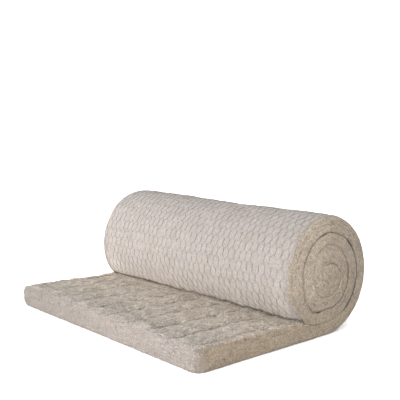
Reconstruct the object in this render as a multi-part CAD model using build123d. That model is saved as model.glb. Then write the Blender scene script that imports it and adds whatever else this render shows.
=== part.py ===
from build123d import *
import os
from math import atan2, cos, hypot, radians, sin, sqrt

# A partly unrolled stitched wool mat: one long strip that lies flat at its free
# end and winds into a roll at the other. Frame: X along the roll's axis, -Y
# towards the free end of the strip, Z up from the floor.

# The strip, in millimetres
MAT_WIDTH = 1000.0
FREE_THICKNESS = 75.0
CREASE_THICKNESS = 67.0
NIP_THICKNESS = 46.0
TAIL_LENGTH = 555.0

# The roll
ROLL_RADIUS = 196.0
OUTER_TURN_TOP = 57.0
TURN_THICKNESS = 42.0
TURN_GAP = 2.0
CORE_TURN_SHARE = 1.5

# Soft edges
CUT_TOP_ROUND = 8.0
CUT_BOTTOM_ROUND = 14.0
CREASE_ROUND = 12.0
END_BEVEL = 4.0

# Stitched rows along the strip
STITCH_ROWS = 10
STITCH_MARGIN = 27.5
CHANNEL_WIDTH = 52.0
CHANNEL_DEPTH = 6.0
CHANNEL_LIFT = 0.3

CUT_OVERRUN = 2.0

# Places that follow from the sizes above
GAP_HALF = TURN_GAP / 2
NIP_CENTRE_Y = -(NIP_THICKNESS + GAP_HALF)
ROLL_CENTRE_Y = (TAIL_LENGTH - ROLL_RADIUS) / 2
LOWER_FRONT_RADIUS = ROLL_RADIUS - NIP_THICKNESS - GAP_HALF
BED_RADIUS = LOWER_FRONT_RADIUS + TURN_GAP
CREASE_Y = NIP_CENTRE_Y - sqrt(BED_RADIUS**2 - (ROLL_RADIUS - CREASE_THICKNESS) ** 2)


def half_turns():
    """(centre height, radius, rising) of each half turn of the winding gap, from the nip to the core."""
    turns = []
    height = NIP_THICKNESS
    diameter = 2 * ROLL_RADIUS - NIP_THICKNESS - OUTER_TURN_TOP
    rising = True
    while diameter > TURN_THICKNESS * CORE_TURN_SHARE:
        step = diameter if rising else -diameter
        turns.append((height + step / 2, diameter / 2, rising))
        height += step
        diameter -= TURN_THICKNESS
        rising = not rising
    return turns


def half_circle(centre_z, radius, rising):
    """A half turn in the strip's section, behind the roll's centre where it rises and before it where it falls."""
    side = 1 if rising else -1
    bottom, top = (0, centre_z - radius), (0, centre_z + radius)
    ends = (bottom, top) if rising else (top, bottom)
    return ThreePointArc(ends[0], (side * radius, centre_z), ends[1])


def gap_tip(turns):
    """The round end of the winding gap in the core."""
    centre_z, radius, rising = turns[-1]
    side = 1 if rising else -1
    tip_z = centre_z + side * radius
    first = (0, tip_z - side * GAP_HALF)
    last = (0, tip_z + side * GAP_HALF)
    return ThreePointArc(first, (-side * GAP_HALF, tip_z), last)


def roll_front():
    """The roll's front: a quarter turn from its top, then a tighter one down to where it sits on the strip."""
    diagonal = radians(45)
    upper = ThreePointArc(
        (0, 2 * ROLL_RADIUS),
        (-ROLL_RADIUS * cos(diagonal), ROLL_RADIUS * (1 + sin(diagonal))),
        (-ROLL_RADIUS, ROLL_RADIUS),
    )
    lower = ThreePointArc(
        (-ROLL_RADIUS, ROLL_RADIUS),
        (NIP_CENTRE_Y - LOWER_FRONT_RADIUS * cos(diagonal), ROLL_RADIUS - LOWER_FRONT_RADIUS * sin(diagonal)),
        (NIP_CENTRE_Y, NIP_THICKNESS + GAP_HALF),
    )
    return [upper, lower]


def bed():
    """The hollow that the roll presses into the strip, from its lowest point up to the crease."""
    low = (NIP_CENTRE_Y, ROLL_RADIUS - BED_RADIUS)
    rise = atan2(ROLL_RADIUS - CREASE_THICKNESS, NIP_CENTRE_Y - CREASE_Y)
    middle = (rise + radians(90)) / 2
    way = (NIP_CENTRE_Y - BED_RADIUS * cos(middle), ROLL_RADIUS - BED_RADIUS * sin(middle))
    return ThreePointArc(low, way, (CREASE_Y, CREASE_THICKNESS))


def strip_section():
    """The strip seen along the roll's axis: out along the floor, round into the core, and back along its inner face."""
    turns = half_turns()
    floor = Line((-TAIL_LENGTH, 0), (0, 0))
    back = half_circle(ROLL_RADIUS, ROLL_RADIUS, True)
    roll_seat = Line((NIP_CENTRE_Y, NIP_THICKNESS + GAP_HALF), (0, NIP_THICKNESS + GAP_HALF))
    inwards = [half_circle(z, r - GAP_HALF, rising) for z, r, rising in turns]
    outwards = [half_circle(z, r + GAP_HALF, rising) for z, r, rising in reversed(turns)]
    strip_seat = Line((0, NIP_THICKNESS - GAP_HALF), (NIP_CENTRE_Y, NIP_THICKNESS - GAP_HALF))
    top = Line((CREASE_Y, CREASE_THICKNESS), (-TAIL_LENGTH, FREE_THICKNESS))
    cut_end = Line((-TAIL_LENGTH, FREE_THICKNESS), (-TAIL_LENGTH, 0))
    section = make_face(
        [floor, back, *roll_front(), roll_seat, *inwards, gap_tip(turns), *outwards, strip_seat, bed(), top, cut_end]
    )
    for corner, radius in (
        ((-TAIL_LENGTH, 0), CUT_BOTTOM_ROUND),
        ((-TAIL_LENGTH, FREE_THICKNESS), CUT_TOP_ROUND),
        ((CREASE_Y, CREASE_THICKNESS), CREASE_ROUND),
    ):
        section = fillet(section.vertices().sort_by_distance(corner)[0], radius)
    return section


def roll_envelope():
    """The roll's outside, a little longer than the strip is wide."""
    back = half_circle(ROLL_RADIUS, ROLL_RADIUS, True)
    seat = Line((NIP_CENTRE_Y, NIP_THICKNESS + GAP_HALF), (0, NIP_THICKNESS + GAP_HALF))
    drop = Line((0, NIP_THICKNESS + GAP_HALF), (0, 0))
    face = make_face([back, *roll_front(), seat, drop])
    return extrude(Plane.YZ * face, amount=MAT_WIDTH / 2 + CUT_OVERRUN, both=True)


def stitch_channels():
    """The channels that the stitched rows pull into the upper face of the flat stretch.

    Each one is bounded by two rounded swells that start a little above the face, so that they meet it at an angle.
    """
    run = CREASE_Y + TAIL_LENGTH
    fall = FREE_THICKNESS - CREASE_THICKNESS
    slope = atan2(fall, run)
    half = CHANNEL_WIDTH / 2
    left, right, stitch = (-half, CHANNEL_LIFT), (half, CHANNEL_LIFT), (0, -CHANNEL_DEPTH)
    outline = make_face(
        [
            TangentArc(left, stitch, tangent=(1, 0)),
            TangentArc(right, stitch, tangent=(-1, 0)),
            Polyline(right, (half, CUT_OVERRUN), (-half, CUT_OVERRUN), left),
        ]
    )
    pitch = (MAT_WIDTH - 2 * STITCH_MARGIN) / (STITCH_ROWS - 1)
    channels = []
    for row in range(STITCH_ROWS):
        x = STITCH_MARGIN - MAT_WIDTH / 2 + row * pitch
        start = Plane(
            origin=(x, -TAIL_LENGTH, FREE_THICKNESS),
            x_dir=(1, 0, 0),
            z_dir=(0, -cos(slope), sin(slope)),
        )
        ahead = extrude(start * outline, amount=CUT_OVERRUN)
        along = extrude(start * outline, amount=-hypot(run, fall) - CREASE_ROUND)
        channels.append(ahead + along)
    return Compound(channels) - roll_envelope()


def wool_mat():
    """The whole strip, with bevelled end edges and stitched channels."""
    mat = extrude(Plane.YZ * strip_section(), amount=MAT_WIDTH / 2, both=True)
    ends = mat.faces().sort_by(Axis.X)
    mat = chamfer(ends[0].edges() + ends[-1].edges(), END_BEVEL)
    return mat - stitch_channels()


def main():
    os.makedirs("parts", exist_ok=True)
    mat = Pos(0, ROLL_CENTRE_Y, 0) * wool_mat()
    export_step(mat, "parts/wool_mat.step")


main()
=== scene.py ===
import math

import bmesh
import bpy
import numpy as np
from mathutils import Matrix, Vector, kdtree
from mathutils.bvhtree import BVHTree


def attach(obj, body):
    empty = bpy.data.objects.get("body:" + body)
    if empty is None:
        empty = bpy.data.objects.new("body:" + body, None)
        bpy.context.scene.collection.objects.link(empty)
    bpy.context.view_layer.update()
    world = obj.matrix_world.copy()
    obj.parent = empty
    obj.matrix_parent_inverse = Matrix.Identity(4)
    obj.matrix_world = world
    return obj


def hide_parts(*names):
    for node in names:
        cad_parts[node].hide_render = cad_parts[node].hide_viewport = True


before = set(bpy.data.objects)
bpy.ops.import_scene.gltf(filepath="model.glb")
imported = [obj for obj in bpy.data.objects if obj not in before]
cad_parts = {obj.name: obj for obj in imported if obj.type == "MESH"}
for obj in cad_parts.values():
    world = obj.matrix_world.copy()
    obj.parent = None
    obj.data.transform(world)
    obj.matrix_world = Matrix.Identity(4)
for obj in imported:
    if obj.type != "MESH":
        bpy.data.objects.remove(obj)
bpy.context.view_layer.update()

rng = np.random.default_rng(20)

# A partly unrolled wool mat with wire netting on its outer face. Sizes are in metres, the main ones those
# of the part's source. In the strip's section y runs along the strip and z up, from the floor under the
# roll's middle; x runs across the strip, along the roll's axis.
HALF_WIDTH = 0.5
FREE_T = 0.075
CREASE_T = 0.067
NIP_T = 0.046
TAIL = 0.555
ROLL_R = 0.196
CENTRE_Y = (TAIL - ROLL_R) / 2
CUT_LOW_R = 0.006
CUT_HIGH_R = 0.014

# The winding gap by half turns: heights where it crosses the roll's middle, swings to the side between
# them, and the flat stretch at the bottom of each front half turn
GAP_HEIGHTS = [NIP_T, 0.335, 0.086, 0.297, 0.129, 0.235, 0.178]
GAP_SWINGS = [0.146, 0.118, 0.104, 0.068, 0.067, 0.028]
GAP_FLATS = [0, 0.060, 0, 0.018, 0, 0]
HALF_TURNS = len(GAP_SWINGS)
CORE_FROM = 4
GAP_SEAT = 0.0004
GAP_DEPTH = 0.05
GAP_STRAY = 0.0024
# Its width in millimetres by half turns from the nip: pressed shut in some stretches, open in others
GAP_WIDTHS = [
    (0, 0.4), (0.16, 0.4), (0.24, 2.1), (0.5, 2.1), (0.72, 2.0), (0.8, 1.0), (0.98, 0.8),
    (1.06, 1.5), (1.16, 0.8), (1.84, 0.8), (1.88, 2.0), (1.93, 0.8), (2.05, 0.7), (2.4, 1.3),
    (2.8, 0.5), (3.6, 0.25), (4.4, 0.25), (4.8, 0.7), (5.2, 0.3), (6, 0.2),
]
CORE_MIDDLE = (0.022, 0.190)

# Netting: hexagons longer than they are wide, their twisted sides along the strip
CELL_W = 0.027
CELL_ROW = 0.033
TWIST = 0.019
TWIST_HALF_TURNS = 3
WIRE_R = 0.00041
WIRE_SIDES = 3
STRAND_OFF = 1.05 * WIRE_R
STRAND_LIFT = 1.1 * WIRE_R
SLANT_LIFT = 0.9 * WIRE_R
HALF_CELLS = 19
NET_MARGIN = 0.003

# Stitched rows along the strip
ROWS = 10
ROW_MARGIN = 0.0275
STITCH = 0.028
STITCH_DIVE = 0.005
STITCH_LIFT = 0.0006
STITCHED_FROM = 0.012
STITCHED_SHORT = 0.020
STITCH_WIRE_R = 0.0004
STITCH_WIRE_SIDES = 4
NETTED_ROW_HALF = 0.020
NETTED_ROW_DEPTH = 0.0020
SWELL = 0.0030
VALLEY_HALF = 0.019
VALLEY_DEPTH = 0.0080
FURROW_HALF = 0.0027
FURROW_DEPTH = 0.0075

# Rounds of the mat's edges along its two ends, narrower at the far end, and of its near corner
ROLL_EDGE_R = 0.012
TOP_EDGE_R = 0.020
CUT_EDGE_R = 0.012
FLOOR_EDGE_R = 0.006
CREASE_EDGE_R = 0.0009
CORNER_R = 0.036
FAR_END_SHARE = 0.5

# Reach of the crease: how far the faces go on past it, and how far out its nearness is counted
SEEN_PAST_CREASE = 0.040
NIP_REACH = 0.05

# Steps of the mesh
CUT_STEPS = 9
ARC_STEPS = 6
TOP_STEPS = 88
HIDDEN_STEPS = 14
TURN_STEPS = 90
FRONT_STEPS = TURN_STEPS - HIDDEN_STEPS
FLOOR_STRIDE = 4
EDGE_FADE_ROWS = 12
CREASE_FADE_ROWS = 9
WELD_REACH = 6e-5

# Sums of noises, each noise by its height, its size and a seed
DRIFT_ACROSS = [(0.0060, 0.16, 3), (0.0031, 0.030, 4)]
DRIFT_ALONG = [(0.0080, 0.19, 5), (0.0036, 0.033, 6)]
BITE_PATCHES = [(0.14, 0.12, 14), (0.36, 0.020, 15)]
OUTER_LUMPS = [(0.0030, (0.30, 0.20, 1.0), 12), (0.0016, 0.075, 13), (0.0004, 0.030, 11)]
TOP_LUMPS = [(0.0015, 0.060, 23), (0.0013, 0.027, 25), (0.0015, 0.013, 26), (0.0010, 0.008, 27)]
CUT_LUMPS = [(0.0014, (0.05, 0.03, 0.05), 32), (0.0010, 0.010, 33)]
CUT_LAYERS = [(1.0, (0.07, 0.0065, 0.07), 31)]
ROW_WANDER = [(0.0055, 0.10, 21), (0.0028, 0.034, 20)]
ROW_DASHES = [(1.0, 0.024, 22), (0.5, 0.06, 24)]
TURN_STRAY = [(0.0024, 0.30, 35)]
GAP_WANDER = [(1.0, 0.10, 41)]
GAP_RIPPLES = [(0.6, 0.042, 42)]
CREASE_WAVES = [(0.0036, 0.034, 45)]
CREASE_RIPPLES = [(0.0024, 0.012, 46)]

# Shares of the netting's bite and of the rows' pull, and heights of the cut faces' layers
BITE_MEAN = 0.70
BITE_MOST = 1.1
BITE_LOSS = 0.10
LEAST_PULL = 0.45
DASH_PULL = 0.65
END_PULL = 0.20
LAYER_RELIEF = 0.0011
FRAYED_RELIEF = 0.0026
FRAY_REACH = 0.035


# Noise

HASH = (374761393, 668265263, 1440662683, 1274126177)
WORD = 0xFFFFFFFF
HALF_WORD = 0xFFFF
LANE_STEP = 3.7


def lattice(i, j, k, seed):
    """A fixed value from 0 to 1 at each place in whole numbers."""
    h = (i * HASH[0] + j * HASH[1] + k * HASH[2] + seed * HASH[3]) & WORD
    h = ((h ^ (h >> 13)) * HASH[3]) & WORD
    return ((h ^ (h >> 16)) & HALF_WORD) / HALF_WORD


def smooth_noise(p, seed):
    """Smooth noise from -1 to 1 at each row of p."""
    base = np.floor(p).astype(np.int64)
    f = p - base
    f = f * f * (3 - 2 * f)
    total = np.zeros(len(p))
    for corner in range(8):
        d = np.array([corner & 1, corner >> 1 & 1, corner >> 2 & 1])
        w = np.prod(np.where(d, f, 1 - f), axis=1)
        total += w * lattice(*(base + d).T, seed)
    return total * 2 - 1


def noise_sum(p, parts):
    """A sum of noises at each row of p."""
    return sum(height * smooth_noise(p / np.array(size), seed) for height, size, seed in parts)


def noise_along(s, lane, parts):
    """A sum of noises along a line, one lane of them per row or turn."""
    lanes, level = np.full_like(s, lane * LANE_STEP), np.zeros_like(s)
    return sum(h * smooth_noise(np.stack([lanes, s / size, level], 1), seed) for h, size, seed in parts)


def ease(low, high, v):
    """A soft step from 0 at low to 1 at high."""
    t = np.clip((v - low) / (high - low), 0, 1)
    return t * t * (3 - 2 * t)


def blend(a, b, t):
    """A blend of two values: the first at 0, the second at 1."""
    return a * (1 - t) + b * t


def unit(v):
    """Vectors brought to length 1."""
    return v / np.maximum(np.linalg.norm(v, axis=-1, keepdims=True), 1e-9)


def table(v, pairs):
    """Values read from (place, value) pairs, in straight steps between them."""
    return np.interp(v, *np.transpose(pairs))


# The strip's section

def line(a, b, n=40):
    """Points along a straight run."""
    return blend(np.array(a), np.array(b), np.linspace(0, 1, n)[:, None])


def arc(centre, radii, start, end, n=480):
    """Points along a round or oval arc between two angles in degrees."""
    across, up = np.broadcast_to(radii, 2)
    t = np.radians(np.linspace(start, end, n))
    return np.stack([centre[0] + across * np.cos(t), centre[1] + up * np.sin(t)], 1)


def join(*runs):
    """Runs of points end to end, without doubles where they meet."""
    points = [runs[0]]
    for run in runs[1:]:
        points.append(run[1:] if np.allclose(run[0], points[-1][-1], atol=1e-6) else run)
    return np.concatenate(points)


def lengths(path):
    """Distance along a path at each of its points."""
    return np.concatenate([[0], np.cumsum(np.hypot(*np.diff(path, axis=0).T))])


def right_of(path):
    """Unit directions to the right of a path."""
    d = np.gradient(path, axis=0)
    return unit(np.stack([d[:, 1], -d[:, 0]], 1))


def between_points(at, along, values):
    """Rows of values, given by distance along a path, read at other distances."""
    return np.stack([np.interp(at, along, values[:, c]) for c in (0, 1)], 1)


def resample(path, steps):
    """The path in even steps, with the directions to its right."""
    along = lengths(path)
    at = np.linspace(0, along[-1], steps + 1)
    return between_points(at, along, path), unit(between_points(at, along, right_of(path)))


def chain(*runs):
    """Joins resampled runs end to end."""
    return [np.concatenate([r[i][:-1] for r in runs[:-1]] + [runs[-1][i]]) for i in (0, 1)]


def gap_width(turns):
    """Width of the winding gap by half turns from the nip."""
    return table(turns, GAP_WIDTHS) / 1000


def gap_middle(k):
    """Half turn k of the winding gap: behind the roll's middle if k is even, before it if odd."""
    low, high = sorted(GAP_HEIGHTS[k:k + 2])
    middle, rise = (low + high) / 2, (high - low) / 2
    swing, flat = GAP_SWINGS[k], GAP_FLATS[k]
    if k % 2 == 0:
        return arc((0, middle), (swing, rise), -90, 90)
    upper = arc((0, middle), (swing, rise), 90, 180)
    lower = arc((-flat, middle), (swing - flat, rise), 180, 270)
    return join(upper, lower, line((-flat, low), (0, low))) if flat else join(upper, lower)


def gap_edge(k, side):
    """One edge of half turn k of the winding gap, outer (1) or inner (-1)."""
    path = gap_middle(k)
    along = lengths(path)
    turns = k + along / along[-1]
    rough = noise_along(turns, 0, GAP_WANDER) + noise_along(turns, 1, GAP_RIPPLES)
    stray = GAP_STRAY * rough * ease(0, 0.3, turns) * ease(HALF_TURNS, HALF_TURNS - 1, turns)
    return path + right_of(path) * (side * gap_width(turns) / 2 + stray)[:, None]


# The roll's lower front and the bed that it presses into the strip share a centre
half_seat = GAP_SEAT / 2
bed_r = ROLL_R - NIP_T + half_seat
low_r = bed_r - GAP_SEAT
nip_y = -NIP_T
low_centre = (nip_y, ROLL_R)
roll_centre = (0, ROLL_R)
crease_angle = math.degrees(math.asin((ROLL_R - CREASE_T) / bed_r))
crease_y = nip_y - bed_r * math.cos(math.radians(crease_angle))
top_length = TAIL + crease_y
past_crease = 180 + crease_angle + math.degrees(SEEN_PAST_CREASE / low_r)

cut_low = resample(arc((-TAIL + CUT_LOW_R, CUT_LOW_R), CUT_LOW_R, 180, 270), ARC_STEPS)
cut_high = resample(arc((-TAIL + CUT_HIGH_R, FREE_T - CUT_HIGH_R), CUT_HIGH_R, 180, 90), ARC_STEPS)
floor_run = resample(line((-TAIL + CUT_LOW_R, 0), (0, 0)), TOP_STEPS + HIDDEN_STEPS)
back_arc = arc(roll_centre, ROLL_R, -90, 90)
back_run = resample(back_arc, TURN_STEPS)
front_seen = join(arc(roll_centre, ROLL_R, 90, 180), arc(low_centre, low_r, 180, past_crease))
front_run = resample(front_seen, FRONT_STEPS)
bed = arc(low_centre, bed_r, 180 + crease_angle, past_crease)
top_run = resample(join(line((-TAIL + CUT_HIGH_R, FREE_T), (crease_y, CREASE_T)), bed), TOP_STEPS)


def hidden_run(radius, height):
    """A face under the roll, from beyond the crease to the nip."""
    under = arc(low_centre, radius, past_crease, 270)
    return resample(join(under, line((nip_y, height), (0, height))), HIDDEN_STEPS)


hidden_top = hidden_run(bed_r, NIP_T - half_seat)
hidden_front = hidden_run(low_r, NIP_T + half_seat)
gap_outer = [resample(gap_edge(k, 1), TURN_STEPS) for k in range(HALF_TURNS)]
gap_inner = [resample(gap_edge(k, -1), TURN_STEPS) for k in range(HALF_TURNS)]

# The strip from its free end to its last half turn, by its outer and inner edges, and the core inside it
outer_edge, outer_way = chain(cut_low, floor_run, back_run, front_run, hidden_front, *gap_inner[:CORE_FROM])
inner_edge, inner_way = chain(cut_high, top_run, hidden_top, *gap_outer)
core_edge, core_way = chain(*gap_inner[CORE_FROM:])
outer_in, inner_in, core_in = -outer_way, inner_way, -core_way
first_back = ARC_STEPS + TOP_STEPS + HIDDEN_STEPS
last_seen = first_back + TURN_STEPS + FRONT_STEPS
crease_row = ARC_STEPS + TOP_STEPS
middle_s = lengths((outer_edge + inner_edge) / 2)

# The outer face by distance along the strip from the free end
outer_path = join(line((-TAIL, 0), (0, 0)), back_arc, front_seen)
outer_along = lengths(outer_path)
outer_normal = right_of(outer_path)
OUTER_END = float(outer_along[-1])


# Relief of each face

def on_face(x, s, lane):
    """Places for noise on a face, x across and s along the strip."""
    return np.stack([x, s, np.full_like(x, lane)], 1)


def netting_drift(x, s):
    """How far the netting strays from an even grid, across and along the strip."""
    p = on_face(x, s, 0.0)
    return noise_sum(p, DRIFT_ACROSS), noise_sum(p, DRIFT_ALONG)


def bite(x, s):
    """How hard the netting bites into the wool, about 0 to 1: fainter where the wool fluffs over it."""
    patch = BITE_MEAN + noise_sum(on_face(x, s, 5.0), BITE_PATCHES)
    return np.clip(patch, 0, BITE_MOST) * (1.0 - BITE_LOSS * ease(-0.25, 0.35, x))


row_pitch = (2 * HALF_WIDTH - 2 * ROW_MARGIN) / (ROWS - 1)
row_homes = ROW_MARGIN - HALF_WIDTH + np.arange(ROWS) * row_pitch


def row_place(row, s):
    """Where a stitched row runs across the strip, at distances s along it."""
    return row_homes[row] + noise_along(s, row, ROW_WANDER)


def netted_rows(x, s):
    """How far the stitched rows draw the netted face in, from 0 to 1."""
    drawn = np.zeros_like(x)
    for row in range(ROWS):
        drawn += np.clip(1 - np.abs(x - row_place(row, s)) / NETTED_ROW_HALF, 0, 1)
    return drawn


def outer_relief(x, s):
    """Outward height of the netted face."""
    return noise_sum(on_face(x, s, 7.0), OUTER_LUMPS) - NETTED_ROW_DEPTH * netted_rows(x, s)


def row_pull(row, s):
    """How hard a row is drawn in along its length: broken into dashes, and less at both ends."""
    dash = ease(-0.35, 0.35, noise_along(s, row, ROW_DASHES))
    by_cut = END_PULL + (1 - END_PULL) * ease(0.008, 0.034, s)
    by_crease = END_PULL + (1 - END_PULL) * ease(0, 0.06, top_length - s)
    return (LEAST_PULL + DASH_PULL * dash) * by_cut * by_crease


def row_fall(x, s):
    """How far the stitched rows draw the top in: (soft valley, sharp furrow)."""
    valley, furrow = np.zeros_like(x), np.zeros_like(x)
    for row in range(ROWS):
        away = np.abs(x - row_place(row, s))
        pull = row_pull(row, s)
        valley += (0.15 + 0.85 * pull) * np.exp(-((away / VALLEY_HALF) ** 1.3))
        furrow += pull * np.exp(-((away / FURROW_HALF) ** 2))
    return valley, furrow


def top_relief(x, s):
    """Upward height of the flat stretch's top: swells between stitched rows, with tufts."""
    valley, furrow = row_fall(x, s)
    pressed = ease(-0.004, 0.040, top_length - s)
    lumps = noise_sum(on_face(x, s, 3.0), TOP_LUMPS)
    return (lumps + SWELL - VALLEY_DEPTH * valley - FURROW_DEPTH * furrow) * pressed


def cut_relief(p):
    """Outward height of a cut face at places p, given along, through and across the strip."""
    frayed = ease(FRAY_REACH, 0.0, p[:, 0]) * ease(HALF_WIDTH - FRAY_REACH, HALF_WIDTH, p[:, 2])
    return (LAYER_RELIEF + FRAYED_RELIEF * frayed) * noise_sum(p, CUT_LAYERS) + noise_sum(p, CUT_LUMPS)


def end_offset(s, side):
    """How far a turn stands out of the roll's end, or lies back, along the strip."""
    return noise_along(s, side, TURN_STRAY) * ease(0.45, 0.75, s)


# The mat's mesh, made of grids that share their borders

points, directions, strip, kinds, faces = [], [], [], [], []
OUTER, TOP, CUT, SIDE, WALL = range(5)


def stacked(x, y, z):
    """One array of vectors from their three parts, spread to a common shape."""
    return np.stack(np.broadcast_arrays(x, y, z), -1)


def in_space(x, section):
    """Places in space, from x across the strip and places in its section."""
    return stacked(x, section[..., 0], section[..., 1])


def add_grid(p, direction, on_strip, kind):
    """Adds places, the way each is raised and where it lies on the strip; returns their indices."""
    start = sum(len(a) for a in points)
    rows, cols = p.shape[:2]
    points.append(p.reshape(-1, 3))
    directions.append(np.broadcast_to(direction, p.shape).reshape(-1, 3))
    strip.append(on_strip.reshape(-1, 3))
    kinds.append(np.broadcast_to(kind, (rows, cols)).reshape(-1))
    return start + np.arange(rows * cols).reshape(rows, cols)


def quads(a, b):
    """Quads between two rows of indices."""
    return np.stack([a[:-1], a[1:], b[1:], b[:-1]], 1).tolist()


def add_faces(index):
    """Adds the faces between neighbouring rows of a grid."""
    for a, b in zip(index[:-1], index[1:]):
        faces.extend(quads(a, b))


def edge_rounding(inset, radius):
    """How far a round edge takes a place near it: (along its face, into the solid)."""
    a = np.maximum(radius - inset, 0)
    h = np.maximum(np.hypot(a, radius), 1e-9)
    return np.where(a > 0, a - a * radius / h, 0), np.where(a > 0, radius - radius * radius / h, 0)


def end_share(x):
    """How wide the edges' rounds are at the end where x lies."""
    return np.where(x > 0, 1.0, FAR_END_SHARE)


# Edge rounds by row of the strip: wide on the seen faces, narrow along the gap
rows_n = len(outer_edge)
row_id = np.arange(rows_n)
turns_in = np.maximum(row_id - first_back, 0) / TURN_STEPS


def gap_round(turns):
    """Round of the gap's edges: wider where the gap is open."""
    return 0.0003 + 0.9 * gap_width(turns)


def edge_rounds(rounds, last, inside, turns):
    """Rounds along one edge: from the cut end to the last row seen, in the crease, and along the gap."""
    rounds[:ARC_STEPS + 1] = np.linspace(CUT_EDGE_R, rounds[ARC_STEPS], ARC_STEPS + 1)
    narrowed = np.maximum(CREASE_EDGE_R, rounds * ease(last, last - CREASE_FADE_ROWS, row_id))
    rounds = np.where(row_id > last - CREASE_FADE_ROWS, narrowed, rounds)
    rounds[inside] = gap_round(turns[inside])
    return rounds


off_floor = ease(first_back - EDGE_FADE_ROWS, first_back + EDGE_FADE_ROWS, row_id)
outer_r = blend(FLOOR_EDGE_R, ROLL_EDGE_R, off_floor)
outer_r = edge_rounds(outer_r, last_seen, row_id > last_seen + HIDDEN_STEPS, turns_in - 2)
inner_r = edge_rounds(np.full(rows_n, TOP_EDGE_R), crease_row, row_id >= first_back, turns_in)
core_r = gap_round(CORE_FROM + np.arange(len(core_edge)) / TURN_STEPS)

# Columns across the mat, closer near its ends and along its stitched rows
BY_END = np.array([0, 0.0022, 0.005, 0.009, 0.0135])
END_ROOM = 0.0165
BY_ROW = np.array([0.0026, 0.0052, 0.0085, 0.0140, 0.0225])
BETWEEN_ROWS = 8
ROW_FOLLOW = 0.05
about_row = np.concatenate([-BY_ROW[::-1], [0], BY_ROW])
between = np.linspace(BY_ROW[-1], row_pitch - BY_ROW[-1], BETWEEN_ROWS + 2)[1:-1]
inner_columns = np.concatenate([h + about_row for h in row_homes] + [h + between for h in row_homes[:-1]])
inner_columns = np.sort(inner_columns[np.abs(inner_columns) < HALF_WIDTH - END_ROOM])[::-1]
columns = np.concatenate([HALF_WIDTH - BY_END, inner_columns, -HALF_WIDTH + BY_END[::-1]])

# The skin goes once round the section: cut end, floor, back, front, down into the crease, out again, top
floor_rows = np.arange(ARC_STEPS, first_back + 1, FLOOR_STRIDE)
floor_rows[-1] = first_back
outer_rows = np.concatenate([np.arange(ARC_STEPS), floor_rows, np.arange(first_back + 1, last_seen + 1)])
inner_rows = np.arange(crease_row, -1, -1)
LEVELS = np.linspace(0, 1, CUT_STEPS + 1)[:, None]
cut_line = blend(inner_edge[0], outer_edge[0], LEVELS[1:-1])
n_out, n_in, n_cut = len(outer_rows), len(inner_rows), len(cut_line)
cut_in = np.tile([1.0, 0.0], (n_cut, 1))
cut_r = np.full(n_cut, CUT_EDGE_R)


def skin_kinds():
    """The kind of each row of the skin; most of the cut end's rounds count as cut."""
    kind = np.concatenate([np.full(n_out, OUTER), np.full(n_in, TOP), np.full(n_cut, CUT)])
    kind[:ARC_STEPS - 1] = CUT
    kind[n_out + n_in - ARC_STEPS + 2:n_out + n_in] = CUT
    return kind


def skin_grid():
    """Adds the skin, its columns following the stitched rows on the top; returns the indices."""
    loop = np.concatenate([outer_edge[outer_rows], inner_edge[inner_rows], cut_line])
    loop_in = np.concatenate([outer_in[outer_rows], inner_in[inner_rows], cut_in])[:, None]
    loop_r = np.concatenate([outer_r[outer_rows], inner_r[inner_rows], cut_r])
    kind = skin_kinds()
    outer_s = lengths(outer_edge)[outer_rows] - lengths(cut_low[0])[-1]
    along = np.concatenate([outer_s, inner_edge[inner_rows, 0] + TAIL, np.zeros(n_cut)])
    through = np.concatenate([np.zeros(n_out), np.full(n_in, FREE_T), np.zeros(n_cut)])
    along[kind == CUT] = 0
    through[kind == CUT] = loop[kind == CUT, 1]
    inset = HALF_WIDTH - np.abs(columns)
    slide, sink = edge_rounding(inset, loop_r[:, None] * end_share(columns))
    drift = np.zeros((len(loop), len(columns)))
    for row, home in enumerate(row_homes):
        follow = ease(ROW_FOLLOW, 0, np.abs(columns - home)) * ease(0.002, 0.02, inset)
        drift += np.outer((row_place(row, along) - home) * (kind == TOP), follow)
    x = np.sign(columns) * (np.abs(columns) - slide) + drift
    p = in_space(x, loop[:, None] + loop_in * sink[..., None])
    on_strip = stacked(along[:, None], through[:, None], columns + drift)
    return add_grid(p, in_space(0.0, -loop_in), on_strip, kind[:, None])


skin = skin_grid()
add_faces(np.concatenate([skin, skin[:1]]))

# The ends: the strip's cut side from its free end to the core, and the gap between the turns
outline = np.concatenate([outer_edge, inner_edge, core_edge, cut_line])
outline_in = np.concatenate([outer_in, inner_in, core_in, cut_in])
outline_r = np.concatenate([outer_r, inner_r, core_r, cut_r])
tree = kdtree.KDTree(len(outline))
for i, q in enumerate(outline):
    tree.insert((q[0], q[1], 0), i)
tree.balance()


def round_off(flat, side):
    """Places on an end, given in the section, with the end's edges rounded."""
    found = [tree.find((q[0], q[1], 0)) for q in flat.reshape(-1, 2)]
    nearest = np.array([f[1] for f in found])
    inset = np.array([f[2] for f in found])
    slide, sink = edge_rounding(inset, outline_r[nearest] * end_share(side))
    q = flat.reshape(-1, 2) + outline_in[nearest] * slide[:, None]
    return in_space(side * (HALF_WIDTH - sink), q).reshape(flat.shape[:2] + (3,))


def strip_side(side):
    """The strip's cut side; on the floor, where the skin has fewer rows, its faces span several."""
    flat = blend(outer_edge[:, None], inner_edge[:, None], LEVELS)
    thick = np.linalg.norm(inner_edge - outer_edge, axis=1)
    on_strip = stacked(middle_s[:, None], LEVELS.T * thick[:, None], side * HALF_WIDTH)
    index = add_grid(round_off(flat, side), (side, 0, 0), on_strip, SIDE)
    stops = [*outer_rows, *range(last_seen + 1, rows_n)]
    for r, e in zip(stops[:-1], stops[1:]):
        if e > r + 1:
            faces.append([index[r, 0], index[e, 0]] + [index[q, 1] for q in range(e, r - 1, -1)])
            add_faces(index[r:e + 1, 1:])
        else:
            add_faces(index[r:e + 1])


CORE_SHARES = np.array([0, 0.05, 0.13, 0.28, 0.46, 0.66, 0.86, 1.0])[:, None]


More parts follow.
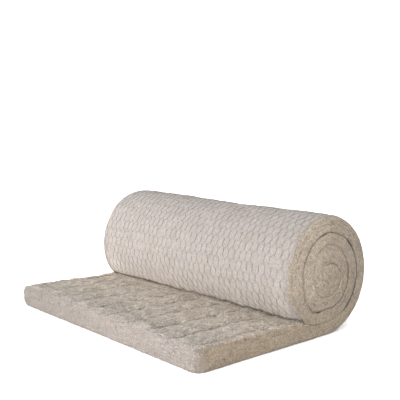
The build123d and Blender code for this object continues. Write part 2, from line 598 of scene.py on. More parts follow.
def core_side(side):
    """The core inside the last half turn, as rings about its middle."""
    last_row = blend(outer_edge[-1], inner_edge[-1], LEVELS)
    rim = np.concatenate([core_edge, last_row[:0:-1], core_edge[:1]])
    flat = blend(rim[:, None], np.array(CORE_MIDDLE), CORE_SHARES)
    from_rim = np.linalg.norm(flat - rim[:, None], axis=2)
    on_strip = stacked(middle_s[-1] + lengths(rim)[:, None], from_rim, side * HALF_WIDTH)
    add_faces(add_grid(round_off(flat, side), (side, 0, 0), on_strip, SIDE))


def gap_wall(edge, into, radius, s, width, side):
    """One wall of the gap, from its rounded edge on the end inwards."""
    depths = np.array([0.0, 0.0015, 0.006, GAP_DEPTH])
    slide, sink = edge_rounding(depths, radius[:, None] * end_share(side))
    x = side * (HALF_WIDTH - depths - slide)
    p = in_space(x, edge[:, None] + into[:, None] * sink[..., None])
    index = add_grid(p, (0, 0, 0), stacked(s[:, None], width[:, None], x), WALL)
    add_faces(index)
    return index


def winding_gap(side):
    """The gap between the turns at one end: two walls, closed at the bottom and at both ends."""
    inner, outer = slice(crease_row, None), slice(last_seen, None)
    width = gap_width((np.arange(rows_n - crease_row) - HIDDEN_STEPS) / TURN_STEPS)
    wall_out = gap_wall(inner_edge[inner], inner_in[inner], inner_r[inner], middle_s[inner], width, side)
    core_s = middle_s[-1] + lengths(core_edge)
    pairs = ((outer_edge, core_edge), (outer_in, core_in), (outer_r, core_r), (middle_s, core_s))
    wall_in = gap_wall(*(np.concatenate([a[outer], b[1:]]) for a, b in pairs), width, side)
    faces.extend(quads(wall_in[:, -1], wall_out[:, -1]))
    faces.extend(quads(wall_in[0], wall_out[0]))
    faces.extend(quads(wall_in[-1], wall_out[-1]))


for side in (1, -1):
    strip_side(side)
    core_side(side)
    winding_gap(side)

points = np.concatenate(points)
directions = np.concatenate(directions)
strip = np.concatenate(strip)
kinds = np.concatenate(kinds)


def weld_map(p, reach):
    """For each point the index of the one it is welded to."""
    bm = bmesh.new()
    for q in p:
        bm.verts.new(q)
    bm.verts.index_update()
    target = np.arange(len(p))
    for v, w in bmesh.ops.find_doubles(bm, verts=bm.verts[:], dist=reach)["targetmap"].items():
        target[v.index] = w.index
    bm.free()
    return target


kept_ids, inverse = np.unique(weld_map(points, WELD_REACH), return_inverse=True)
rest, strip_at, kind_at = points[kept_ids], strip[kept_ids], kinds[kept_ids]
weight = np.bincount(inverse).astype(float)
polys = [list(dict.fromkeys(inverse[face].tolist())) for face in faces]
polys = [ring for ring in polys if len(ring) > 2]
is_outer, is_top, is_side, is_wall = kinds == OUTER, kinds == TOP, kinds == SIDE, kinds == WALL


def raised():
    """The welded points raised by the relief, which is shared out where faces meet."""
    height = np.zeros(len(points))
    is_cut = (kinds == CUT) | is_side
    height[is_outer] = outer_relief(strip[is_outer, 2], strip[is_outer, 0])
    height[is_top] = top_relief(strip[is_top, 2], strip[is_top, 0])
    height[is_cut] = cut_relief(strip[is_cut])
    height[is_side] += end_offset(strip[is_side, 0], np.sign(strip[is_side, 2]))
    push = np.zeros((len(rest), 3))
    np.add.at(push, inverse, directions * height[:, None])
    return rest + push * (np.minimum(np.sqrt(weight), 1.5) / weight)[:, None]


# How the whole mat lies: the roll's low front bulges at the far end, by height and across the strip, and
# the top dips towards the crease, by place along the strip, where it is under a height
BULGE_BY_HEIGHT = [(0.055, 0), (0.068, 1), (0.10, 0.55), (0.14, 0.15), (0.18, 0)]
BULGE_ACROSS = [(-0.5, 0.022), (0.0, 0.002), (0.5, -0.006)]
DIP_ALONG = [(-0.22, 0), (-0.150, 0.0012), (-0.125, 0.0018), (-0.105, 0.0010), (-0.088, 0)]
DIP_UNDER = [(-0.16, 0.085), (-0.125, 0.0675), (-0.088, 0.0521)]
CREASE_WAVES_R = 0.022
FAR_RISE = 0.007
FAR_THINNING = 0.055
BACK_SAG = 0.005
LEAST_HEIGHT = 0.0010
WORN_REACH = 0.035
WORN_LIFT = 0.020


def settle(p):
    """The mat as it lies, fuller at its far end, with its near corner round and its far corner worn."""
    x, y, z = p.T.copy()
    at_front = ease(-0.03, -0.09, y) * ease(-0.30, -0.20, y)
    y -= table(z, BULGE_BY_HEIGHT) * at_front * table(x, BULGE_ACROSS)
    on_bed = ease(0.040, 0.055, z) * (z < table(y, DIP_UNDER))
    z = z - table(y, DIP_ALONG) * on_bed * ease(-0.2, 0.5, x)
    near_crease = np.exp(-((y - crease_y) ** 2 + (z - CREASE_T) ** 2) / CREASE_WAVES_R**2)
    z = z + near_crease * (noise_along(x, 3, CREASE_WAVES) + noise_along(x, 4, CREASE_RIPPLES))
    z = z + FAR_RISE * ease(0.2, -HALF_WIDTH, x) * ease(0.18, 2 * ROLL_R, z)
    thinned = ease(-0.25, -HALF_WIDTH, x) * ease(crease_y, crease_y - 0.1, y)
    z = z * (1 - FAR_THINNING * thinned)
    y = y + BACK_SAG * ease(0, HALF_WIDTH, x) * ease(0.05, ROLL_R, y)
    past_x, past_y = x - HALF_WIDTH + CORNER_R, -TAIL + CORNER_R - y
    in_corner = (past_x > 0) & (past_y > 0)
    reach = np.where(in_corner, np.maximum(np.hypot(past_x, past_y), CORNER_R), CORNER_R)
    x -= np.where(past_x > 0, past_x, 0) * (1 - CORNER_R / reach)
    y += np.where(past_y > 0, past_y, 0) * (1 - CORNER_R / reach)
    worn = ease(HALF_WIDTH - WORN_REACH, HALF_WIDTH, -x) * ease(0.05, 0.0, y + TAIL)
    return np.stack([x, y + CENTRE_Y, np.maximum(z, LEAST_HEIGHT + WORN_LIFT * worn**2)], 1)


final = settle(raised())

# Which face each welded point is on, and how far it is from the crease
on_top = kind_at == TOP
on_side = kind_at == SIDE
section_y, section_z = final[:, 1] - CENTRE_Y, final[:, 2]
on_front = (kind_at == OUTER) & (section_y < -0.03) & (section_z > 0.04)
to_crease = np.hypot(rest[:, 1] - crease_y, rest[:, 2] - CREASE_T)

# Tints by face: palest on the top, greyest on the netted face, more olive on the sides and in the gaps
TINTS = {
    OUTER: (0.197, 0.180, 0.169),
    TOP: (0.326, 0.288, 0.244),
    CUT: (0.180, 0.159, 0.144),
    SIDE: (0.229, 0.192, 0.152),
    WALL: (0.228, 0.180, 0.136),
}
FLUFF = {OUTER: 0.14, TOP: 0.98, CUT: 0.5, SIDE: 0.95, WALL: 0.5}
GRAIN = {OUTER: 0.9, TOP: 2.1, CUT: 1.5, SIDE: 1.25, WALL: 1.0}
FRONT_DIM = np.array([0.145, 0.128, 0.098])
OLIVE = np.array([0.98, 0.95, 0.885])
# Warm hue of the painted light near the crease
PAINTED_GLOW_TINT = np.array([1.04, 0.98, 0.90])
# Painted shade in the top's stitched furrows and down in the gaps between the turns
ROW_SHADE = 0.84
GAP_SHADE = 0.76
GAP_DARK_WIDTH = 0.0013
# Painted light near the crease: its strength on the front and on the top, and its reach
PAINTED_GLOW_FRONT = 1.5
PAINTED_GLOW_TOP = 0.45
PAINTED_GLOW_REACH = 0.060
# Painted shade at the back of the sides and far along the cut end; painted light high at the sides' front
# and near along the cut end
BACK_SHADE = 0.15
FRONT_LIGHT = 0.24
FAR_CUT_SHADE = 0.27
NEAR_CUT_LIGHT = 0.29
CUT_TINT_END = 0.0162
CUT_TINT_BLEND = 0.0125


def by_kind(values):
    """Values by kind of face, averaged over the faces that meet at a point."""
    each = np.array(list(values.values()))[kinds]
    total = np.zeros((len(rest),) + each.shape[1:])
    np.add.at(total, inverse, each)
    return (total.T / weight).T


def towards(tone, tint, share):
    """A tone drawn towards a tint."""
    return tone + share[:, None] * (np.array(tint) - tone)


def bare_tones(at_cut):
    """The wool's tone by face: dimmer at the top's front, olive low on the sides, greyer by the cut end."""
    tone = towards(by_kind(TINTS), TINTS[CUT], at_cut)
    tone[inverse[is_top]] *= 1 - FRONT_DIM * ease(0.20, 0.03, strip[is_top, 0])[:, None]
    tone[on_side] *= 1 - ease(0.085, 0.06, section_z[on_side])[:, None] * (1 - OLIVE)
    return towards(tone, TINTS[CUT], on_side * 0.6 * ease(0.055, 0.0, rest[:, 1] + TAIL))


def shades(at_cut):
    """Painted shade and light, as shares of the tone left: less in furrows and gaps, at the sides' back and
    far along the cut end.
    """
    shade = np.ones(len(rest))
    furrow = row_fall(strip[is_top, 2], strip[is_top, 0])[1]
    shade[inverse[is_top]] -= ROW_SHADE * np.clip(furrow, 0, 1)
    shade[inverse[is_wall]] = 1 - GAP_SHADE * np.clip(strip[is_wall, 1] / GAP_DARK_WIDTH - 0.25, 0, 1)
    back = BACK_SHADE * ease(-0.04, 0.19, section_y)
    front = FRONT_LIGHT * ease(0.10, 0.19, section_z) * ease(0.04, -0.08, section_y)
    shade[on_side] *= (1 - back + front)[on_side]
    on_cut = np.maximum(kind_at == CUT, at_cut)
    return shade * (1 - on_cut * (FAR_CUT_SHADE - NEAR_CUT_LIGHT * ease(-0.5, 0.3, rest[:, 0])))


def painted_crease_glow():
    """Painted light near the crease, lifting the tone against the shade there, so the wool stays pale down
    to it.
    """
    off_end = ease(0, 0.03, HALF_WIDTH - np.abs(rest[:, 0]))
    strength = np.where(on_front, PAINTED_GLOW_FRONT, np.where(on_top, PAINTED_GLOW_TOP, 0))
    return strength * off_end * np.exp(-to_crease / PAINTED_GLOW_REACH)


at_cut = on_top * np.clip((CUT_TINT_END - TAIL - rest[:, 1]) / CUT_TINT_BLEND, 0, 1)
bare = bare_tones(at_cut)
shade = shades(at_cut)
# open_tone keeps the painted shade but not the painted light, for the wisps in the crease; tone has both
open_tone = bare * np.minimum(shade, 1)[:, None]
tone = bare * (shade[:, None] + painted_crease_glow()[:, None] * PAINTED_GLOW_TINT)


def netting_coords():
    """The netting's own coordinates and its bite, for the painted shade of the lines it draws in the wool.
    """
    s, x = strip_at[:, 0], strip_at[:, 2]
    dx, ds = netting_drift(x, s)
    inside = ease(0.0005, 0.004, HALF_WIDTH - np.abs(x)) * ease(0, 0.01, s)
    return np.stack([x - dx, s - ds, bite(x, s) * inside * (kind_at == OUTER)], 1)


def nip_nearness():
    """How near places are to lying under the roll: NIP_REACH at the crease, 0 far from it."""
    past = bed_r * (np.arctan2(ROLL_R - rest[:, 2], nip_y - rest[:, 1]) - math.radians(crease_angle))
    past = np.where(on_top & (rest[:, 1] < crease_y), rest[:, 1] - crease_y, past)
    return np.where(on_front | on_top, np.clip(NIP_REACH + past, 0, 2 * NIP_REACH), 0)


def add_object(name, data):
    """A new object in the scene."""
    ob = bpy.data.objects.new(name, data)
    bpy.context.collection.objects.link(ob)
    return ob


def make_mesh(name, verts, polygons):
    """A new smooth mesh object."""
    me = bpy.data.meshes.new(name)
    me.from_pydata(verts.tolist(), [], polygons)
    me.validate()
    me.polygons.foreach_set("use_smooth", np.ones(len(me.polygons), bool))
    return add_object(name, me)


ATTRIBUTES = {1: ("FLOAT", "value"), 3: ("FLOAT_VECTOR", "vector"), 4: ("FLOAT_COLOR", "color")}


def set_attribute(ob, name, values):
    """Stores a number, a vector or a colour for each point of a mesh."""
    kind, field = ATTRIBUTES[values.size // len(values)]
    ob.data.attributes.new(name, kind, "POINT").data.foreach_set(field, values.astype(np.float32).ravel())


def wool_mesh():
    """The mat, with what its material reads; the tint's fourth value is the strength of the grain."""
    ob = make_mesh("wool", final, polys)
    bm = bmesh.new()
    bm.from_mesh(ob.data)
    bmesh.ops.recalc_face_normals(bm, faces=bm.faces)
    bm.to_mesh(ob.data)
    bm.free()
    # The tint holds the tone with its painted shade and painted light
    set_attribute(ob, "tint", np.column_stack([tone, by_kind(GRAIN)]))
    set_attribute(ob, "strip", strip_at)
    set_attribute(ob, "net", netting_coords())
    set_attribute(ob, "nip", nip_nearness())
    set_attribute(ob, "fluff", by_kind(FLUFF))
    ob.data.update()
    return ob


mat_ob = wool_mesh()


# Wire

def tubes(runs, radius, sides):
    """Closed tubes along runs, an array of (run, point, xyz)."""
    count_r, count_p, _ = runs.shape
    way = unit(np.gradient(runs, axis=1))
    helper = np.where(np.abs(way[..., 2:]) > 0.9, np.array([1.0, 0, 0]), np.array([0, 0, 1.0]))
    u = unit(np.cross(way, helper))
    v = np.cross(way, u)
    turn = (np.arange(sides) * 2 * math.pi / sides)[None, None, :, None]
    verts = runs[:, :, None] + (u[:, :, None] * np.cos(turn) + v[:, :, None] * np.sin(turn)) * radius
    idx = np.arange(count_r * count_p * sides).reshape(count_r, count_p, sides)
    nxt = np.roll(idx, -1, axis=2)
    f = np.stack([idx[:, :-1], nxt[:, :-1], nxt[:, 1:], idx[:, 1:]], -1).reshape(-1, 4).tolist()
    f += idx[:, 0, ::-1].tolist() + idx[:, -1].tolist()
    return verts.reshape(-1, 3), f


surface = BVHTree.FromPolygons(final.tolist(), polys)
CAST_FROM = 0.012
CAST_REACH = 0.05
BURIED = 0.0012


def lay_on_netted_face(x, s, lift):
    """Runs of places over the netted face, at x across and s along the strip; some lie under the fluff."""
    shape = x.shape
    x, s, lift = x.ravel(), s.ravel(), np.broadcast_to(lift, shape).ravel()
    dx, ds = netting_drift(x, s)
    s = np.clip(s + ds, 0.002, OUTER_END)
    x = np.clip(x + dx, -HALF_WIDTH + NET_MARGIN, HALF_WIDTH - NET_MARGIN)
    lift = lift - BURIED * ease(0.55, 0.25, bite(x, s))
    flat = settle(in_space(x, between_points(s, outer_along, outer_path)))
    out = in_space(0.0, between_points(s, outer_along, outer_normal))
    placed = []
    for q, w, h in zip(flat, out, lift):
        hit = surface.ray_cast(Vector(q + w * CAST_FROM), Vector(-w), CAST_REACH)[0]
        placed.append(np.array(hit if hit else q) + w * h)
    placed = np.array(placed)
    placed[:, 2] = np.maximum(placed[:, 2], WIRE_R)
    return placed.reshape(shape + (3,))


def netting_cells():
    """Middles of the netting's twisted sides: x across and s along the strip."""
    rows = np.arange(int(OUTER_END / CELL_ROW) + 1)
    cells = np.arange(-HALF_CELLS, HALF_CELLS + 1)
    i, k = (a.ravel() for a in np.meshgrid(rows, cells, indexing="ij"))
    x = (k + 0.5 * (i % 2)) * CELL_W
    inside = np.abs(x) < HALF_WIDTH - 0.001
    return x[inside], i[inside] * CELL_ROW


def twisted_sides(cell_x, cell_s):
    """Two strands wound about each other along the strip."""
    t = np.linspace(0, 1, 6)
    strands = []
    for phase in (0, math.pi):
        phi = t * TWIST_HALF_TURNS * math.pi + phase
        x = cell_x[:, None] + STRAND_OFF * np.cos(phi)
        s = cell_s[:, None] + (t - 0.5) * TWIST
        strands.append(lay_on_netted_face(x, s, STRAND_LIFT + STRAND_OFF * np.sin(phi)))
    return np.concatenate(strands)


def slanted_sides(cell_x, cell_s):
    """Single wires from the end of each twisted side to the two next ones."""
    t = np.linspace(0, 1, 4)
    wires = []
    for way in (-1, 1):
        x = cell_x[:, None] + way * CELL_W / 2 * t
        s = cell_s[:, None] + TWIST / 2 + (CELL_ROW - TWIST) * t
        on_mat = (np.abs(x[:, -1]) < HALF_WIDTH + 0.002) & (cell_s + CELL_ROW < OUTER_END + 0.01)
        wires.append(lay_on_netted_face(x[on_mat], s[on_mat], SLANT_LIFT))
    return np.concatenate(wires)


def netting_mesh():
    """The hexagonal netting over the mat's outer face."""
    cells = netting_cells()
    twist_v, twist_f = tubes(twisted_sides(*cells), WIRE_R, WIRE_SIDES)
    slant_v, slant_f = tubes(slanted_sides(*cells), WIRE_R, WIRE_SIDES)
    slant_f = [[i + len(twist_v) for i in f] for f in slant_f]
    return make_mesh("wire_netting", np.concatenate([twist_v, slant_v]), twist_f + slant_f)


def stitch_mesh():
    """Stitching wire, in and out of the wool along each row of the top."""
    starts = np.arange(STITCHED_FROM, top_length - STITCHED_SHORT, STITCH)
    t = np.linspace(0, 1, 7)
    dive = STITCH_DIVE * np.abs(np.cos(math.pi * np.tile(t, len(starts)))) ** 3
    s = (starts[:, None] + t * STITCH).ravel()
    runs = []
    for row in range(ROWS):
        x = row_place(row, s)
        z = FREE_T + (CREASE_T - FREE_T) * s / top_length + top_relief(x, s) + STITCH_LIFT - dive
        runs.append(settle(np.stack([x, s - TAIL, z], 1)).reshape(len(starts), len(t), 3))
    return make_mesh("stitch_wire", *tubes(np.concatenate(runs), STITCH_WIRE_R, STITCH_WIRE_SIDES))


netting = netting_mesh()
stitches = stitch_mesh()


# Loose fibres: thin curved wisps lying on the wool

mat_ob.data.calc_loop_triangles()
triangles = np.array([t.vertices[:] for t in mat_ob.data.loop_triangles])
normal_at = np.array([v.normal for v in mat_ob.data.vertices])
corner = final[triangles]
areas = np.linalg.norm(np.cross(corner[:, 1] - corner[:, 0], corner[:, 2] - corner[:, 0]), axis=1)
WISP_POINTS = 5
ROOT_DEPTH = 0.0006
LENGTH_SPREAD = 0.35
WIDTH_SPREAD = 0.3
BOW = 0.22


def wisps(count, want, length, width, arch, lean, vary, tone):
    """Wisps on the mat: want weighs its points, lean is the direction that they are drawn to there."""
    share = areas * want[triangles].mean(axis=1)
    pick = triangles[rng.choice(len(triangles), count, p=share / share.sum())]
    bary = rng.dirichlet((1, 1, 1), count)[:, :, None]
    base = (final[pick] * bary).sum(axis=1)
    up = unit((normal_at[pick] * bary).sum(axis=1))
    way = rng.normal(size=(count, 3)) + lean[pick].mean(axis=1)
    way = unit(way - up * (way * up).sum(axis=1, keepdims=True))
    across = np.cross(up, way)
    size = length * np.exp(np.clip(LENGTH_SPREAD * rng.normal(size=count), -0.7, 0.7))
    bow = size * BOW * rng.normal(size=count)
    rise = arch * rng.uniform(0.3, 1.0, count)
    half_width = width / 2 * np.exp(WIDTH_SPREAD * rng.normal(size=count))
    brightness = np.exp(vary * rng.normal(size=count))

    t = np.linspace(-1, 1, WISP_POINTS)
    hump = 1 - t**2
    path = base[:, None] + way[:, None] * (size[:, None] / 2 * t)[..., None]
    path = path + across[:, None] * (bow[:, None] * hump)[..., None]
    path = path + up[:, None] * (rise[:, None] * hump - ROOT_DEPTH)[..., None]
    half = across[:, None] * (half_width[:, None] * np.sqrt(np.clip(1.04 - t**2, 0, 1)))[..., None]
    verts = np.stack([path - half, path + half], 2)
    verts[..., 2] = np.maximum(verts[..., 2], 0.0005)
    colour = (tone[pick] * bary).sum(axis=1) * brightness[:, None]
    return verts.reshape(-1, 3), np.repeat(colour, WISP_POINTS * 2, axis=0)


def turn_lean():
    """Directions along the strip, seen on its ends."""
    wound = (final[:, 1] > CENTRE_Y + crease_y) & (final[:, 2] > NIP_T)
    about = unit(np.stack([ROLL_R - section_z, section_y], 1))
    return in_space(0.0, np.where(wound[:, None], about, [1.0, 0.0]) * 2)


def fibre_mesh():
    """Loose fibres on the top, the ends, the cut end, the netted face and in the crease."""
    top = (on_top & (rest[:, 1] < crease_y - 0.004)) * ease(0.015, 0.05, rest[:, 1] + TAIL)
    outer = (kind_at == OUTER) & (final[:, 2] > 0.05)
    crease = (on_front | on_top) * np.exp(-((to_crease / 0.008) ** 2))
    any_way = np.zeros_like(final)
    cut_lean = np.tile([1.2, 0.0, 0.0], (len(final), 1))
    # Count, where, length, width, arch, lean, spread of brightness and tone
    batches = [
        wisps(10500, top, 0.017, 0.0013, 0.0032, any_way, 0.20, tone),
        wisps(7000, on_side, 0.013, 0.0011, 0.0018, turn_lean(), 0.16, tone),
        wisps(1100, kind_at == CUT, 0.012, 0.0012, 0.0016, cut_lean, 0.10, tone),
        wisps(3300, outer, 0.009, 0.0012, 0.0010, any_way, 0.10, tone),
        wisps(2100, crease, 0.013, 0.0018, 0.0045, any_way, 0.20, open_tone),
    ]
    verts, colour = (np.concatenate(parts) for parts in zip(*batches))
    idx = np.arange(len(verts)).reshape(-1, WISP_POINTS, 2)
    f = np.stack([idx[:, :-1, 0], idx[:, :-1, 1], idx[:, 1:, 1], idx[:, 1:, 0]], -1).reshape(-1, 4)
    ob = make_mesh("loose_fibres", verts, f.tolist())
    # The wisps' tint carries the painted shade of the wool where they lie, and outside the crease its
    # painted light too
    set_attribute(ob, "tint", np.column_stack([colour, np.ones(len(verts))]))
    return ob


fibres = fibre_mesh()


# Materials

class Shader:
    """A new material, with short ways to add nodes to it."""

    def __init__(self, name):
        self.material = bpy.data.materials.new(name)
        self.material.use_nodes = True
        self.nodes = self.material.node_tree.nodes

    def feed(self, sockets, inputs):
        """Joins sockets to other ones, or sets them to plain values."""
        for name, value in inputs.items():
            if isinstance(value, bpy.types.NodeSocket):
                self.material.node_tree.links.new(value, sockets[name])
            else:
                sockets[name].default_value = value

    def surface(self, inputs):
        """Feeds the surface and gives the material."""
        self.feed(self.nodes["Principled BSDF"].inputs, inputs)
        return self.material

    def node(self, kind, inputs, operation=None):
        """The outputs of a new node whose inputs are fed."""
        made = self.nodes.new(kind)
        if operation:
            made.operation = operation
        self.feed(made.inputs, inputs)
        return made.outputs

    def math(self, operation, *values):
        return self.node("ShaderNodeMath", dict(enumerate(values)), operation)[0]

    def times(self, a, b):
        return self.math("MULTIPLY", a, b)

    def attribute(self, name):
        made = self.nodes.new("ShaderNodeAttribute")
        made.attribute_name = name
        return made.outputs

    def along_strip(self, scale):
        """Places on the strip, each of their coordinates by its own scale."""
        strip_place = self.attribute("strip")["Vector"]
        return self.node("ShaderNodeMapping", {"Vector": strip_place, "Scale": scale})["Vector"]

    def noise(self, vector, settings):
        """Noise by its scale, detail, roughness and distortion."""
        names = ("Scale", "Detail", "Roughness", "Distortion")
        return self.node("ShaderNodeTexNoise", {"Vector": vector, **dict(zip(names, settings))})["Fac"]

    def remap(self, value, low, high, at_low, at_high):
        """A value taken from one range to another, and held within it."""
        ranges = {"From Min": low, "From Max": high, "To Min": at_low, "To Max": at_high}
        return self.node("ShaderNodeMapRange", {"Value": value, **ranges})["Result"]

    def sway(self, noise, share):
        """A noise's swing about its middle, taken to a share up or down."""
        return self.remap(noise, 0.3, 0.7, -share, share)

    def ramp(self, value, low, low_colour, high, high_colour):
        """A blend of two colours."""
        made = self.nodes.new("ShaderNodeValToRGB")
        first, last = made.color_ramp.elements
        first.position, first.color = low, low_colour
        last.position, last.color = high, high_colour
        self.feed(made.inputs, {"Fac": value})
        return made.outputs["Color"]

    def bump(self, height, strength, distance, **under):
        inputs = {"Height": height, "Strength": strength, "Distance": distance, **under}
        return self.node("ShaderNodeBump", inputs)["Normal"]


def netting_distance(look, x, s):
    """Distance to the nearest wire of the netting, at its own coordinates x and s."""
    calc, times = look.math, look.times

    def hypot(a, b):
        return calc("SQRT", calc("ADD", times(a, a), times(b, b)))

    row = calc("ROUND", calc("DIVIDE", s, CELL_ROW))
    up = calc("ABSOLUTE", calc("SUBTRACT", s, times(row, CELL_ROW)))
    odd = calc("MODULO", calc("ABSOLUTE", row), 2.0)
    cell = calc("DIVIDE", calc("SUBTRACT", x, times(odd, CELL_W / 2)), CELL_W)
    across = times(calc("ABSOLUTE", calc("SUBTRACT", cell, calc("ROUND", cell))), CELL_W)
    over = calc("SUBTRACT", up, TWIST / 2)
    twist = hypot(across, calc("MAXIMUM", over, 0.0))
    size = math.hypot(CELL_W / 2, CELL_ROW - TWIST)
    ux, us = CELL_W / 2 / size, (CELL_ROW - TWIST) / size
    along = calc("ADD", times(across, ux), times(over, us))
    along = calc("MINIMUM", calc("MAXIMUM", along, 0.0), size)
    off_across = calc("SUBTRACT", across, times(along, ux))
    off_over = calc("SUBTRACT", over, times(along, us))
    return calc("MINIMUM", twist, hypot(off_across, off_over))


# Noises of the materials: scale per metre or per step of the strip, detail, roughness and distortion
BROAD_NOISE = (13.0, 3.0, 0.55, 0.0)
LAYER_NOISE = (1.0, 4.0, 0.6, 0.4)
LAYER_STRETCH = (22.0, 240.0, 22.0)
TUFT_NOISE = (60.0, 4.0, 0.6, 1.6)
GRAIN_NOISE = (300.0, 3.0, 0.7, 0.8)
FOLD_NOISE = (1.0, 2.0, 0.5, 0.7)
FOLD_STRETCH = (17.0, 60.0, 44.0)
RAGGED_NOISE = (90.0, 4.0, 0.75, 0.0)
BREAK_NOISE = (34.0, 2.0, 0.55, 0.0)
HUE_NOISE = (26.0, 4.0, 0.65, 0.6)
ZINC_NOISE = (60.0, 3.0, 0.55, 0.0)

# How far they sway the wool's tint
BROAD_SWAY = 0.045
LAYER_SWAY = 0.10
TUFT_SWAY = 0.18
GRAIN_SWAY = 0.42

# Painted shade in dark lines: wrinkles, the netting's furrows and the crease
WRINKLE_SHADE = 0.66
WRINKLE_HALF = 0.028
NET_SHADE = 0.135
RAGGED_REACH = 0.026
CREASE_SHADE = 0.88

# Hues of the wool and the wire
WARM_HUE = (1.0, 0.978, 0.945, 1)
COOL_HUE = (0.985, 0.985, 0.99, 1)
DULL_ZINC = (0.130, 0.106, 0.092, 1)
PALE_ZINC = (0.33, 0.288, 0.262, 1)

# Bumps by strength and height
TUFT_BUMP = (0.8, 0.007)
CELL_BUMP = (0.045, 0.0016)
GRAIN_BUMP = (0.6, 0.0016)


def wrinkles(look, broad, fluffy):
    """Painted shade of thin wrinkles in patches of the fluffy faces, as a share of the tint."""
    folds = look.noise(look.along_strip(FOLD_STRETCH), FOLD_NOISE)
    off_line = look.math("ABSOLUTE", look.math("SUBTRACT", folds, 0.5))
    lines = look.remap(off_line, 0.0, WRINKLE_HALF, 1.0, 0.0)
    patches = look.remap(broad, 0.40, 0.56, 0.0, 1.0)
    return look.times(look.times(lines, patches), look.remap(fluffy, 0.5, 1.0, 0.0, -WRINKLE_SHADE))


def crease_line(look, coords):
    """Painted shade: the dark line down in the crease, ragged and broken, as a share of the tint."""
    ragged = look.remap(look.noise(coords, RAGGED_NOISE), 0.25, 0.75, -RAGGED_REACH, RAGGED_REACH)
    edge = look.math("ADD", look.attribute("nip")["Fac"], ragged)
    line_shade = look.remap(edge, NIP_REACH - 0.0085, NIP_REACH - 0.0055, 0.0, -CREASE_SHADE)
    breaks = look.remap(look.noise(coords, BREAK_NOISE), 0.44, 0.52, 0.10, 1.0)
    return look.times(line_shade, breaks)


def wool_material():
    """Pale felted fibres: layers, tufts and grain, with painted shade in wrinkles, along the netting's
    furrows and in the crease.
    """
    look = Shader("wool")
    coords = look.node("ShaderNodeTexCoord", {})["Object"]
    tint = look.attribute("tint")
    fluffy = look.attribute("fluff")["Fac"]
    net = look.node("ShaderNodeSeparateXYZ", {"Vector": look.attribute("net")["Vector"]})
    biting = net["Z"]
    wire = netting_distance(look, net["X"], net["Y"])

    broad = look.noise(coords, BROAD_NOISE)
    layers = look.noise(look.along_strip(LAYER_STRETCH), LAYER_NOISE)
    tufts = look.noise(coords, TUFT_NOISE)
    fine = look.noise(coords, GRAIN_NOISE)
    shares = [
        look.sway(broad, BROAD_SWAY),
        look.times(look.sway(layers, LAYER_SWAY), look.remap(fluffy, 0.3, 0.5, 0.45, 1.0)),
        look.times(look.sway(tufts, TUFT_SWAY), fluffy),
        look.times(look.sway(fine, GRAIN_SWAY), tint["Alpha"]),
        wrinkles(look, broad, fluffy),
        look.times(look.remap(wire, 0.0005, 0.0019, -NET_SHADE, 0.0), biting),
        crease_line(look, coords),
    ]
    level = 1.0
    for share in shares:
        level = look.times(level, look.math("ADD", share, 1.0))

    hue = look.ramp(look.noise(coords, HUE_NOISE), 0.38, WARM_HUE, 0.62, COOL_HUE)
    hued = look.node("ShaderNodeVectorMath", {0: tint["Color"], 1: hue}, "MULTIPLY")["Vector"]
    colour = look.node("ShaderNodeVectorMath", {0: hued, "Scale": level}, "SCALE")["Vector"]
    soft = look.bump(look.times(tufts, fluffy), *TUFT_BUMP)
    cells = look.times(look.remap(wire, 0.0, 0.009, 0.0, 1.0), biting)
    pressed = look.bump(cells, *CELL_BUMP, Normal=soft)
    return look.surface({
        "Base Color": colour,
        "Roughness": 0.95,
        "Specular IOR Level": 0.12,
        "Sheen Weight": 0.06,
        "Sheen Roughness": 0.6,
        "Normal": look.bump(fine, *GRAIN_BUMP, Normal=pressed),
    })


def wire_material():
    """Galvanised wire, in dull and pale patches."""
    look = Shader("wire")
    patch = look.noise(look.node("ShaderNodeTexCoord", {})["Object"], ZINC_NOISE)
    colour = look.ramp(patch, 0.35, DULL_ZINC, 0.7, PALE_ZINC)
    roughness = look.remap(patch, 0.3, 0.7, 0.62, 0.42)
    return look.surface({"Base Color": colour, "Roughness": roughness, "Metallic": 0.7})


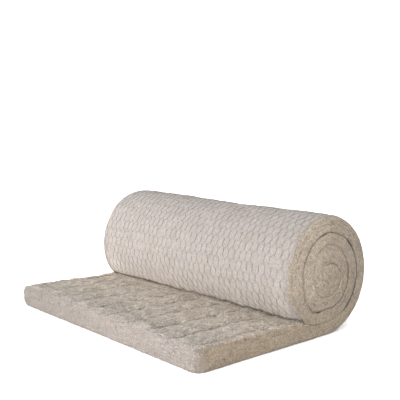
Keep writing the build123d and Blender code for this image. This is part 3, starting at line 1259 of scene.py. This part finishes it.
looks = {"wool": wool_material(), "wire": wire_material()}
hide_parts("wool_mat")
for piece, slot_name in ((mat_ob, "wool"), (fibres, "wool"), (netting, "wire"), (stitches, "wire")):
    piece.data.materials.append(looks[slot_name])
    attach(piece, "root")


# Floor, light and camera

FLOOR_HALF = 40
FLOOR_LOOK = {"Base Color": (0.94, 0.94, 0.94, 1), "Roughness": 0.9, "Specular IOR Level": 0.0}
SUN_WAY = (-0.28, 0.94, -0.20)
FILL_PLACE = Vector((-1.5, -2.5, 0.36))
FILL_AIM = Vector((-0.1, 0.0, 0.12))
CAMERA_PLACE = (1.928, CENTRE_Y - 1.793, 0.700)
CAMERA_BACK = (0.74836, -0.65344, 0.11392)

scene = bpy.context.scene
scene.view_settings.view_transform = "Standard"

floor_me = bpy.data.meshes.new("floor")
floor_corners = [(FLOOR_HALF * x, FLOOR_HALF * y, 0) for x, y in ((-1, -1), (1, -1), (1, 1), (-1, 1))]
floor_me.from_pydata(floor_corners, [], [(0, 1, 2, 3)])
floor_me.materials.append(Shader("floor").surface(FLOOR_LOOK))
floor_ob = add_object("floor", floor_me)

scene.world = bpy.data.worlds.new("studio")
scene.world.use_nodes = True
sky = scene.world.node_tree.nodes["Background"].inputs
sky["Color"].default_value = (1, 1, 1, 1)
sky["Strength"].default_value = 1.7


def add_light(name, kind, energy, way):
    """A light that shines along a direction."""
    light = add_object(name, bpy.data.lights.new(name, kind))
    light.data.energy = energy
    light.rotation_euler = Vector(way).to_track_quat("-Z", "Y").to_euler()
    return light


sun = add_light("key", "SUN", 3.1, SUN_WAY)
sun.data.angle = math.radians(45)
fill = add_light("fill", "AREA", 104, FILL_AIM - FILL_PLACE)
fill.data.size = 1.4
fill.location = FILL_PLACE

camera = add_object("camera", bpy.data.cameras.new("camera"))
camera.data.lens = 64.44
camera.data.sensor_width = 36
camera.data.clip_end = 200
back = Vector(CAMERA_BACK).normalized()
right = Vector((0, 0, 1)).cross(back).normalized()
turned = Matrix((right, back.cross(right), back)).transposed().to_4x4()
camera.matrix_world = Matrix.Translation(CAMERA_PLACE) @ turned
scene.camera = camera
